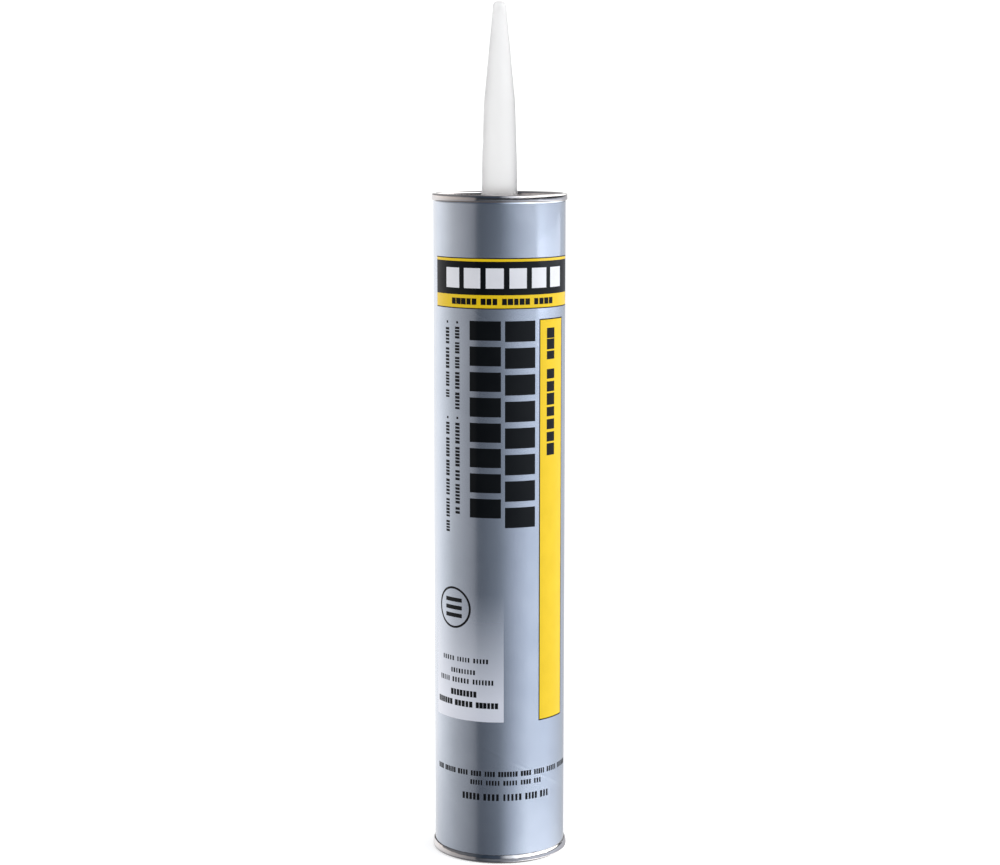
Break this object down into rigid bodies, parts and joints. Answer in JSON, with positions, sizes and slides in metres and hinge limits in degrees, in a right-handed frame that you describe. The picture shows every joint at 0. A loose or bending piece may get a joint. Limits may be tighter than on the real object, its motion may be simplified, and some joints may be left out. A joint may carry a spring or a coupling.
{
  "type": "construction adhesive cartridge",
  "caption": "Tall board tube with a paper label, a seamed metal end that holds a tapered plastic spout, a metal foot ring and a sliding piston under the adhesive.",
  "frame": {"origin": "centre of the foot ring's lower face, on the tube's axis", "axes": "+Z along the tube towards the spout's tip; the middle of the label's front faces -Y; +X to its right"},
  "size_m": [0.0662, 0.0662, 0.4135],
  "materials": {
    "board": "matte",
    "label_paper": "satin",
    "black_ink": "gloss",
    "yellow_ink": "gloss",
    "white_ink": "gloss",
    "tin_top": "polished",
    "tin_foot": "polished",
    "spout_plastic": "satin",
    "foil": "satin",
    "piston_plastic": "satin",
    "adhesive_paste": "satin"
  },
  "bodies": {
    "can": {"fibre_tube": "board", "label": "label_paper", "label_black": "black_ink", "label_yellow": "yellow_ink", "label_white": "white_ink", "top_end": "tin_top", "bottom_ring": "tin_foot", "spout": "spout_plastic", "spout_seal": "foil", "adhesive": "adhesive_paste"},
    "piston": {"piston": "piston_plastic"}
  },
  "joints": [
    {"name": "piston_slide", "type": "slide", "parent": "can", "child": "piston", "axis": [0, 0, 1], "range_m": [0, 0.295], "deforming": ["adhesive"]}
  ]
}
